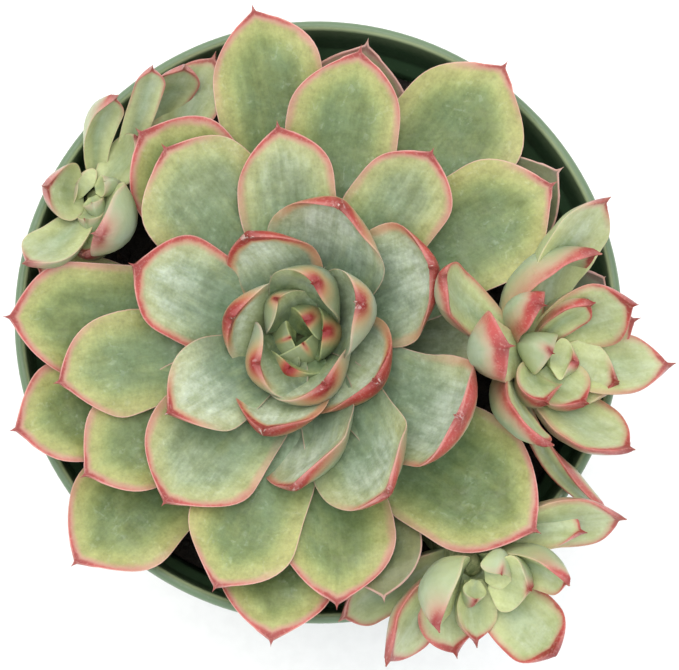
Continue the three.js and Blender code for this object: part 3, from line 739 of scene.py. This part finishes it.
def half_widths(s, length, shape):
    """Half width of the blade and its drawn-out point."""
    t = s / length
    widest = widest_share(length, shape)
    rise = np.sin(np.pi / 2 * np.clip(t / widest, 0, 1)) ** 1.2
    body = ROOT_WIDTH_SHARE + (1 - ROOT_WIDTH_SHARE) * rise
    shoulder = 1 - np.clip((t - widest) / (1 - widest), 0, 1) ** shape["blunt"]
    blade = shape["width"] / 2 * np.where(t < widest, body, shoulder)
    point = shape["point"]
    along = np.clip((s - length + 1.3 * point) / (2.3 * point), 0, 1)
    spine = 0.95 * point * (1 - along) ** 1.5
    return np.maximum(blade, spine) + 0.02


def section_places(length, shape):
    """Places of the sections along the leaf, closer together towards its tip."""
    widest = widest_share(length, shape)
    body = np.linspace(0, widest * length, BLADE_ROWS)
    bend = np.sin(np.linspace(0, np.pi / 2, SHOULDER_ROWS))[1:]
    shoulder = widest * length + (1 - widest) * length * bend
    spine = length + shape["point"] * np.linspace(0, 1, POINT_ROWS)[1:]
    return np.concatenate([body, shoulder, spine])


def root_and_tip_elevation(shape, rosette):
    """Elevations in degrees: the leaf's own, or its rosette's for a leaf of such a reach."""
    least_lift, more_lift, lift_fade = rosette["lift"]
    least_curl, more_curl, curl_fade = rosette["curl"]
    reach = shape["reach"]
    lift = shape.get("lift", least_lift + more_lift * math.exp(-reach / lift_fade))
    fading = math.exp(-((reach / curl_fade) ** 2))
    curl = shape.get("curl", least_curl + more_curl * fading)
    return lift - curl / 2, lift + curl / 2


def section_axes(shape, rosette, rank):
    """Place, centre, sideways axis and upward axis of each section, and the leaf's length."""
    low, high = root_and_tip_elevation(shape, rosette)
    height = rosette["top"] - rosette["drop"] * rank - shape["drop"]
    reach = shape["reach"] - shape["point"] * math.cos(math.radians(high))
    line_s, line, elevation, heading = middle_line(reach, height, low, high, shape["sweep"])
    length = line_s[-1]
    s = section_places(length, shape)
    centre = np.stack([np.interp(s, line_s, line[:, k]) for k in range(3)], axis=1)
    e = np.interp(s, line_s, elevation)
    h = np.interp(s, line_s, heading)
    along = np.stack([np.cos(e) * np.cos(h), np.cos(e) * np.sin(h), np.sin(e)], axis=1)
    centre += np.clip(s - length, 0, None)[:, None] * along
    across = np.stack([-np.sin(h), np.cos(h), np.zeros_like(h)], axis=1)
    up = np.cross(along, across)
    roll = (np.radians(shape["roll"]) * np.clip(s / length, 0, 1))[:, None]
    side = across * np.cos(roll) + up * np.sin(roll)
    upward = up * np.cos(roll) - across * np.sin(roll)
    return s, centre, side, upward, length


def round_the_section():
    """Places across the leaf, over its face and back along its underside."""
    face = np.sin(np.linspace(-np.pi / 2, np.pi / 2, FACE_COLUMNS))
    back = np.sin(np.linspace(np.pi / 2, -np.pi / 2, BACK_COLUMNS))[1:-1]
    is_back = np.concatenate([np.zeros(len(face)), np.ones(len(back))])
    return np.concatenate([face, back]), is_back


def waved_sides(s, t, u, half, width, phase):
    """How far to the side each point lies, with a wave in the margin."""
    wave = MARGIN_WAVE * width * np.sin(MARGIN_RATE * s + phase[0] + 2.1 * np.sign(u))
    return u * (half + wave * np.abs(u) ** 3 * smooth(t * 3) * (t < 0.97))


def face_levels(s, u, half, cup, phase):
    """Height of the face: a channel, long ripples, and a flutter towards the margin."""
    ripple = LONG_RIPPLE * np.sin(LONG_RATE * s + phase[1]) * np.sin(1.9 * u + phase[2])
    ripple += SHORT_RIPPLE * np.sin(SHORT_RATE * s + 2.2 * u + phase[3])
    ripple *= np.minimum(half / 6, 1)
    flutter = FLUTTER * np.abs(u) ** 4
    flutter = flutter * np.sin(FLUTTER_RATE * s + phase[4] + 1.5 * np.sign(u))
    flutter *= np.minimum(half / 8, 1)
    return cup * half * u**2 + ripple + flutter


def round_levels(s, t, u, is_back, half, shape, phase, settings):
    """Height of each point over the middle line, the underside below the face."""
    cup = settings.cup if shape["cup"] is None else shape["cup"]
    body = 0.6 + 0.4 * np.sin(np.pi * np.clip(1.1 * t, 0, 1))
    thick = settings.thickness / MM * body * (1 - 0.78 * t**5)
    thick = np.minimum(thick, 1.5 * half + 0.2)
    edge = np.minimum(settings.edge / MM, 1.2 * half)
    face = face_levels(s, u, half, cup, phase) - 0.35 * edge * np.abs(u) ** 10
    depth = thick * (1 - np.abs(u) ** 2.2) + edge * np.sqrt(np.clip(1 - u**6, 0, 1))
    return face - is_back * depth


def outline_distance(s, u, half, length, shape):
    """Distance of each point of the flattened leaf to its outline."""
    edge_s = np.linspace(0.15 * length, length + shape["point"], OUTLINE_POINTS)
    edge_half = half_widths(edge_s, length, shape)
    nearest = np.full((len(s), len(u)), np.inf)
    for side in (-1, 1):
        away = np.hypot(s[..., None] - edge_s, (u * half)[..., None] - side * edge_half)
        nearest = np.minimum(nearest, away.min(-1))
    return np.where(np.abs(u) > 0.999, 0, nearest)


def leaf_facts(shape, rosette, length, s, u, half):
    """What colours a leaf. Distances count for more on a small leaf, so its red stays narrow."""
    narrow = max(1, SMALL_WIDTH / shape["width"])
    short = max(narrow, SMALL_LENGTH / length)
    return {
        "margin_mm": narrow * outline_distance(s, u, half, length, shape),
        "tip_mm": short * np.hypot(length + shape["point"] - s, u * half),
        "along": np.clip(s / length, 0, 1),
        "age": smooth((shape["reach"] - rosette["youth"]) / AGEING_REACH),
        "heart": smooth((rosette["bud"] - shape["reach"]) / HEART_FADE),
        "offset": float(rosette["lean"] > 0),
        "dull": max(shape["dull"], rosette["dull"]),
        "flush": shape["flush"],
    }


def leaf_points(shape, rosette, rank, seed, settings):
    """Points of one leaf round its sections, in millimetres, with what colours it."""
    rng = np.random.default_rng(seed)
    phase = rng.uniform(0, 2 * np.pi, 8)
    blush = shape["blush"] * rng.uniform(0.85, 1.15)
    s, centre, side, upward, length = section_axes(shape, rosette, rank)
    half = half_widths(s, length, shape)[:, None]
    s = s[:, None]
    t = np.clip(s / length, 0, 1)
    u, is_back = round_the_section()
    aside = waved_sides(s, t, u, half, shape["width"], phase)
    level = round_levels(s, t, u, is_back, half, shape, phase, settings)
    points = centre[:, None] + aside[..., None] * side[:, None] + level[..., None] * upward[:, None]
    facts = leaf_facts(shape, rosette, length, s, u, half)
    facts.update(back=is_back, blush=blush)
    facts = {name: np.broadcast_to(value, level.shape).ravel() for name, value in facts.items()}
    own_place = np.full(level.shape, LEAVES_APART * (seed % 97))
    flat = [np.broadcast_to(s, level.shape), aside, own_place]
    facts["flat"] = np.stack(flat, -1).reshape(-1, 3) * MM
    return points.reshape(-1, 3), level.shape, facts


def place_on_crown(points, rosette, direction):
    turn = Matrix.Rotation(math.radians(direction), 3, "Z")
    lean_to = math.radians(rosette["lean_to"])
    axis = Vector((-math.sin(lean_to), math.cos(lean_to), 0))
    lean = Matrix.Rotation(math.radians(rosette["lean"]), 3, axis)
    return points @ np.array(lean @ turn).T + np.array(rosette["crown"])


def grow_leaves(node, prefix, material, settings):
    rosette = ROSETTES[node]
    leaves = rosette["leaves"]
    for i, shape in enumerate(leaves):
        rank = i / (len(leaves) - 1)
        seed = 1000 * sorted(ROSETTES).index(node) + i
        points, (rows, columns), facts = leaf_points(shape, rosette, rank, seed, settings)
        points = place_on_crown(points, rosette, shape["direction"])
        faces = skin_faces(rows, columns)
        add_piece(f"{prefix}_leaf_{i + 1:02d}", points, faces, material, node, facts)


# Stems
# The stem stands upright from its foot, bends into the crown and ends thinner, hidden in the
# heart. It is a little thinner than the solid, so that it stays inside it.

STEM_FOOT = 56.2
STEM_UPRIGHT = 19
STEM_INTO_CROWN = 2
STEM_END_UNDER_TOP = 2.5
STEM_END_SHARE = 0.42
STEM_SLACK = 0.1
STEM_RINGS = 37
STEM_COLUMNS = 20


def grow_stem(node, prefix, material):
    """Stem upright in its hole in the soil, then leaning up into the crown, with scars."""
    rosette = ROSETTES[node]
    lean_to, lean = math.radians(rosette["lean_to"]), math.radians(rosette["lean"])
    out = math.sin(lean) * np.array([math.cos(lean_to), math.sin(lean_to), 0])
    axis = out + (0, 0, math.cos(lean))
    crown = np.array(rosette["crown"])
    foot = np.array([*rosette["foot"], STEM_FOOT])
    top = crown + (rosette["top"] - STEM_END_UNDER_TOP) * axis
    knots = np.array([foot, foot + (0, 0, STEM_UPRIGHT), crown + STEM_INTO_CROWN * axis, top])
    radii = [rosette["stem"] - STEM_SLACK] * 3 + [STEM_END_SHARE * rosette["stem"]]
    angle = 2 * np.pi * np.arange(STEM_COLUMNS) / STEM_COLUMNS
    rings = []
    for q in np.linspace(0, 3, STEM_RINGS):
        middle = [np.interp(q, range(4), knots[:, k]) for k in range(3)]
        radius = np.interp(q, range(4), radii)
        scar = 0.06 * radius * np.sin(9 * q + 2 * angle) * min(1, max(0, q - 0.9) * 4)
        radius = radius - 0.12 + np.minimum(scar, 0.1)
        tilt = smooth(q - 1) * out
        rise = -tilt[0] * np.cos(angle) - tilt[1] * np.sin(angle)
        ring = np.stack([np.cos(angle), np.sin(angle), rise], axis=1)
        rings.append(middle + ring * radius[:, None])
    faces = skin_faces(STEM_RINGS, STEM_COLUMNS)
    add_piece(f"{prefix}_stem", np.concatenate(rings), faces, material, node)


def grow_rosette(node, prefix, settings):
    """Grows one rosette. All of them share one skin and one bark."""
    skin = bpy.data.materials.get(LEAF_MATERIAL) or leaf_skin(settings)
    bark = bpy.data.materials.get(STEM_MATERIAL) or stem_bark(settings)
    grow_stem(node, prefix, bark)
    grow_leaves(node, prefix, skin, settings)


# Pot
# In millimetres: the thickness of its floor, how far its band stands out, and the longest step
# of its section. The drill for a drain hole goes from below the foot to above the floor.

POT_FLOOR = 1.8
BAND_STEP = 1.8
PROFILE_STEP = 6.0
POT_COLUMNS = 160
DRILL_SIDES = 32
DRILL_REACH = (-2, 4)


def round_corner(before, corner, after, radius, steps=5):
    """Points of a profile's corner rounded by a radius."""
    a = np.array(before, float) - corner
    b = np.array(after, float) - corner
    cut = min(radius, 0.45 * np.linalg.norm(a), 0.45 * np.linalg.norm(b))
    start = corner + a / np.linalg.norm(a) * cut
    end = corner + b / np.linalg.norm(b) * cut
    q = np.linspace(0, 1, steps)[:, None]
    return (1 - q) ** 2 * start + 2 * q * (1 - q) * np.array(corner) + q**2 * end


def pot_profile(settings):
    """Half section of the pot, from the middle of its foot out, up, over the lip and in."""
    height, foot = settings.height / MM, settings.foot_radius / MM
    lip, wall = settings.lip_radius / MM, settings.wall / MM
    top, band_z = settings.wall_top_radius / MM, settings.band_bottom / MM
    inner_foot = foot + (top - foot) / band_z * POT_FLOOR - wall
    # Each corner's radius and height on the pot, and how far it is rounded.
    corners = [
        (0.01, 0, 0),
        (foot - 1.5, 0, 0.6),
        (foot, 1.5, 0.8),
        (top, band_z, 0.6),
        (top + BAND_STEP, band_z + 0.8, 0.6),
        (lip - 0.9, height - 2.6, 0.4),
        (lip, height - 1.8, 0.5),
        (lip, height - 0.7, 0.4),
        (lip - 0.5, height, 0.4),
        (lip - 1.3, height, 0.4),
        (lip - 1.8, height - 0.6, 0.5),
        (top + BAND_STEP - wall, band_z + 1.6, 0.6),
        (top - wall, band_z - 0.6, 0.6),
        (inner_foot, POT_FLOOR, 0.6),
        (0.01, POT_FLOOR, 0),
    ]
    points = [np.array([corners[0][:2]])]
    for before, here, after in zip(corners, corners[1:], corners[2:]):
        points.append(round_corner(before[:2], here[:2], after[:2], here[2]))
    points.append(np.array([corners[-1][:2]]))
    return np.concatenate(points)


def fine_profile(points, longest):
    """Adds points so that no step of a profile is longer than asked."""
    out = [points[0]]
    for a, b in zip(points, points[1:]):
        steps = max(1, int(np.ceil(np.linalg.norm(b - a) / longest)))
        out.extend(a + (b - a) * k / steps for k in range(1, steps + 1))
    return np.array(out)


def make_pot(settings, material):
    """Spins the pot's section; its points know the rolled lip, whose top is painted paler as lit from
    above, and the painted highlight along the lip's inner corner.
    """
    profile = fine_profile(pot_profile(settings), PROFILE_STEP)
    angle = 2 * np.pi * np.arange(POT_COLUMNS) / POT_COLUMNS
    radius = profile[:, :1]
    z = np.broadcast_to(profile[:, 1:], (len(profile), POT_COLUMNS))
    verts = np.stack([radius * np.cos(angle), radius * np.sin(angle), z], -1).reshape(-1, 3)
    below_lip = settings.height / MM - verts[:, 2]
    inward = settings.lip_radius / MM - np.hypot(verts[:, 0], verts[:, 1])
    # Painted highlight: a narrow band along the lip's inner corner, at its very top.
    lip_highlight_band = np.exp(-(((inward - 1.5) / 0.25) ** 2))
    # lip is where the top of the lip is painted paler, as lit from above.
    facts = {"lip": smooth((2.2 - below_lip) / 1.4), "lip_highlight_line": lip_highlight_band * (below_lip < 1.4)}
    faces = side_faces(len(profile), POT_COLUMNS)
    pot = add_piece("nursery_pot", verts, faces, material, "pot", facts)
    drill_drains(pot, settings)


def drill_drains(pot, settings):
    """Cuts the round drain holes through the pot's floor."""
    radius = settings.drain_radius
    verts, faces = [], []
    for i in range(settings.drain_holes):
        a = 2 * math.pi * (i + 0.5) / settings.drain_holes
        x, y = settings.drain_ring * math.cos(a), settings.drain_ring * math.sin(a)
        faces.extend(skin_faces(2, DRILL_SIDES, len(verts)))
        for z in DRILL_REACH:
            for j in range(DRILL_SIDES):
                b = 2 * math.pi * j / DRILL_SIDES
                verts.append((x + radius * math.cos(b), y + radius * math.sin(b), z * MM))
    mesh = bpy.data.meshes.new("drills")
    mesh.from_pydata(verts, [], faces)
    drills = add_object("drills", mesh)
    cut = pot.modifiers.new("drains", "BOOLEAN")
    cut.operation = "DIFFERENCE"
    cut.solver = "EXACT"
    cut.object = drills
    evaluated = pot.evaluated_get(bpy.context.evaluated_depsgraph_get())
    drilled = bpy.data.meshes.new_from_object(evaluated)
    pot.modifiers.remove(cut)
    pot.data = drilled
    bpy.data.objects.remove(drills)


# Soil
# In millimetres. A crumb's size is its length, width and height, and its reach is how far from
# the pot's middle the crumbs lie.

SOIL_BOTTOM = 2.1
SOIL_SHOULDER_DROP = 1.4
SOIL_CLEARANCE = 0.45
SOIL_COLUMNS = 144
SOIL_TOP_RINGS = 60
PEAT_CRUMB = (1.1, 1.0, 0.8)
PEAT_REACH = 46.5
PEAT_SEED = 5
BARK_CHIP = (2.2, 1.0, 0.6)
BARK_REACH = 45.5
BARK_SEED = 6


def soil_height(x, y, settings):
    """Height of the soil's surface, with lumps about 7 and 2 millimetres wide."""
    lumps = noise.noise(Vector((x / 7, y / 7, 0.3)))
    crumbs = noise.noise(Vector((x / 2.2, y / 2.2, 4.1)))
    return settings.level / MM + settings.lump / MM * (0.8 * lumps + 0.5 * crumbs)


def make_soil(settings, pot, material):
    """Soil filling the pot, its surface lumpy, its rim just clear of the pot's wall."""
    taper = (pot.wall_top_radius - pot.foot_radius) / pot.band_bottom
    level = settings.level / MM
    angle = 2 * np.pi * np.arange(SOIL_COLUMNS) / SOIL_COLUMNS

    def inside(z):
        return pot.foot_radius / MM + taper * z - pot.wall / MM - SOIL_CLEARANCE

    def ring(radius, z=None):
        places = [(radius * math.cos(a), radius * math.sin(a)) for a in angle]
        return [(x, y, soil_height(x, y, settings) if z is None else z) for x, y in places]

    rings = [ring(inside(SOIL_BOTTOM) - 0.5, SOIL_BOTTOM)]
    for z in (SOIL_BOTTOM + 0.5, 20, 40, 60, level - SOIL_SHOULDER_DROP):
        rings.append(ring(inside(z), z))
    for radius in np.linspace(inside(level) - 0.2, 0.5, SOIL_TOP_RINGS):
        rings.append(ring(radius))
    verts = np.array(rings).reshape(-1, 3)
    faces = skin_faces(len(rings), SOIL_COLUMNS)
    add_piece("potting_soil", verts, faces, material, "soil")


def lump_shape(rng, size, turns=7, rows=5):
    """One rough crumb: a ball of few faces pushed in and out and squashed."""
    points = []
    for i in range(rows):
        polar = math.pi * (i + 0.5) / rows
        for j in range(turns):
            a = 2 * math.pi * (j + 0.5 * i) / turns
            r = rng.uniform(0.75, 1.1)
            ring = r * math.sin(polar)
            points.append((ring * math.cos(a), ring * math.sin(a), r * math.cos(polar)))
    turned = Matrix.Rotation(rng.uniform(0, 6.28), 3, "Z")
    tipped = Matrix.Rotation(rng.uniform(-0.5, 0.5), 3, "X")
    return (np.array(points) * size) @ np.array(turned @ tipped).T, rows, turns


def scatter(name, many, size, reach, settings, material, rng):
    """Loose crumbs lying on the soil, half sunk in it."""
    verts, faces, start = [], [], 0
    for _ in range(many):
        radius, a = reach * math.sqrt(rng.uniform()), rng.uniform(0, 2 * math.pi)
        x, y = radius * math.cos(a), radius * math.sin(a)
        crumb = np.array(size) * rng.uniform(0.6, 1.25)
        points, rows, columns = lump_shape(rng, crumb)
        verts.append(points + (x, y, soil_height(x, y, settings) + 0.25 * crumb[2]))
        faces.extend(skin_faces(rows, columns, start))
        start += len(points)
    add_piece(name, np.concatenate(verts), faces, material, "soil")


# Stage
# LIP_PIXEL is where the middle of the pot's lip lies in the photo, and LENS_PIXELS the focal
# length in its pixels.

PHOTO_WIDTH, PHOTO_HEIGHT = 679, 670
LIP_PIXEL = (319.8, 317.8)
LENS_PIXELS = 3152.6
SENSOR_MM = 36.0
CLIP_METRES = (0.01, 20)
KEY_PLACE_METRES = (-0.2, 0.28, 1.1)
KEY_SIZE_METRES = 1.1
FLOOR_HALF_METRES = 2.5


def camera_matrix(settings, lip_height):
    """Camera above the pot, tilted a little, aimed so that the lip lies where it was seen."""
    tilt, side = settings.camera_tilt, settings.camera_side
    over = math.sin(tilt)
    away = Vector((over * math.cos(side), over * math.sin(side), math.cos(tilt)))
    right = (-away).cross(Vector((0, 1, 0))).normalized()
    up = right.cross(-away)
    distance = settings.camera_distance
    per_pixel = distance / LENS_PIXELS
    target = Vector((0, 0, lip_height))
    target -= right * (LIP_PIXEL[0] - PHOTO_WIDTH / 2) * per_pixel
    target += up * (LIP_PIXEL[1] - PHOTO_HEIGHT / 2) * per_pixel
    turn = Matrix((right, up, away)).transposed()
    return Matrix.Translation(target + away * distance) @ turn.to_4x4()


def make_camera(settings, lip_height):
    data = bpy.data.cameras.new("camera")
    data.sensor_width = SENSOR_MM
    data.lens = LENS_PIXELS / PHOTO_WIDTH * SENSOR_MM
    data.clip_start, data.clip_end = CLIP_METRES
    camera = add_object("camera", data)
    camera.matrix_world = camera_matrix(settings, lip_height)
    bpy.context.scene.camera = camera


def make_key_light(settings):
    data = bpy.data.lights.new("key", "AREA")
    data.shape = "DISK"
    data.size = KEY_SIZE_METRES
    data.energy = settings.key_strength
    data.color = settings.key[:3]
    light = add_object("key", data)
    light.location = KEY_PLACE_METRES
    light.rotation_euler = (-Vector(KEY_PLACE_METRES)).to_track_quat("-Z", "Y").to_euler()


def make_floor(material):
    half = FLOOR_HALF_METRES
    mesh = bpy.data.meshes.new("studio_floor")
    corners = [(-half, -half, 0), (half, -half, 0), (half, half, 0), (-half, half, 0)]
    mesh.from_pydata(corners, [], [(0, 1, 2, 3)])
    mesh.materials.append(material)
    add_object("studio_floor", mesh)


def make_sky(scene, settings):
    world = bpy.data.worlds.new("soft sky")
    world.use_nodes = True
    sky = world.node_tree.nodes["Background"]
    sky.inputs["Color"].default_value = settings.sky
    sky.inputs["Strength"].default_value = settings.sky_strength
    scene.world = world


# Operators


class SUCCULENT_OT_stage(bpy.types.Operator):
    """Sets up the pale floor, the soft light and the camera"""

    bl_idname = "succulent.stage"
    bl_label = "Stage"

    def execute(self, context):
        scene = context.scene
        settings = scene.succulent_stage
        make_camera(settings, scene.succulent_pot.height)
        make_floor(white_paper(settings))
        make_key_light(settings)
        make_sky(scene, settings)
        scene.view_settings.view_transform = "Standard"
        return {"FINISHED"}


class SUCCULENT_OT_pot(bpy.types.Operator):
    """Builds the green nursery pot, its plastic a little over a millimetre thick, with its rolled lip
    and drain holes
    """

    bl_idname = "succulent.pot"
    bl_label = "Nursery pot"

    def execute(self, context):
        settings = context.scene.succulent_pot
        make_pot(settings, pot_plastic(settings))
        return {"FINISHED"}


class SUCCULENT_OT_soil(bpy.types.Operator):
    """Fills the pot with lumpy soil and scatters crumbs and bark chips on it"""

    bl_idname = "succulent.soil"
    bl_label = "Soil"

    def execute(self, context):
        pot, settings = context.scene.succulent_pot, context.scene.succulent_soil
        peat = peat_soil("moist sieved peat", settings.peat, settings.dry_peat)
        bark = peat_soil("composted bark", settings.bark, settings.dark_bark)
        make_soil(settings, pot, peat)
        rng = np.random.default_rng(PEAT_SEED)
        scatter("peat_crumbs", settings.crumbs, PEAT_CRUMB, PEAT_REACH, settings, peat, rng)
        rng = np.random.default_rng(BARK_SEED)
        scatter("bark_chips", settings.chips, BARK_CHIP, BARK_REACH, settings, bark, rng)
        return {"FINISHED"}


class SUCCULENT_OT_main_rosette(bpy.types.Operator):
    """Grows the large rosette: its short stem and all its leaves"""

    bl_idname = "succulent.main_rosette"
    bl_label = "Main rosette"

    def execute(self, context):
        grow_rosette("main_rosette", "main", context.scene.succulent_leaves)
        return {"FINISHED"}


class SUCCULENT_OT_offsets(bpy.types.Operator):
    """Grows the three offset rosettes round the large one"""

    bl_idname = "succulent.offsets"
    bl_label = "Offset rosettes"

    def execute(self, context):
        for node in sorted(ROSETTES):
            if node != "main_rosette":
                prefix = node.replace("offset_rosette_", "") + "_offset"
                grow_rosette(node, prefix, context.scene.succulent_leaves)
        return {"FINISHED"}


class SUCCULENT_PT_panel(bpy.types.Panel):
    """Lists the pieces of the potted succulent"""

    bl_idname = "SUCCULENT_PT_panel"
    bl_label = "Potted succulent"
    bl_space_type = "VIEW_3D"
    bl_region_type = "UI"
    bl_category = "Succulent"

    def draw(self, context):
        layout = self.layout
        for operator in OPERATORS:
            layout.operator(operator.bl_idname)
        for key in SETTINGS:
            group = getattr(context.scene, key)
            box = layout.box()
            for name in group.__annotations__:
                box.prop(group, name)


SETTINGS = {
    "succulent_pot": PotSettings,
    "succulent_soil": SoilSettings,
    "succulent_leaves": LeafSettings,
    "succulent_stage": StageSettings,
}
OPERATORS = (
    SUCCULENT_OT_stage,
    SUCCULENT_OT_pot,
    SUCCULENT_OT_soil,
    SUCCULENT_OT_main_rosette,
    SUCCULENT_OT_offsets,
)
CLASSES = (*SETTINGS.values(), *OPERATORS, SUCCULENT_PT_panel)


def register():
    for cls in CLASSES:
        bpy.utils.register_class(cls)
    for key, group in SETTINGS.items():
        setattr(bpy.types.Scene, key, PointerProperty(type=group))


def unregister():
    for key in SETTINGS:
        delattr(bpy.types.Scene, key)
    for cls in reversed(CLASSES):
        bpy.utils.unregister_class(cls)


def main():
    register()
    bpy.ops.succulent.stage()
    bpy.ops.succulent.pot()
    bpy.ops.succulent.soil()
    bpy.ops.succulent.main_rosette()
    bpy.ops.succulent.offsets()
    bpy.context.view_layer.update()


if __name__ == "__main__":
    main()
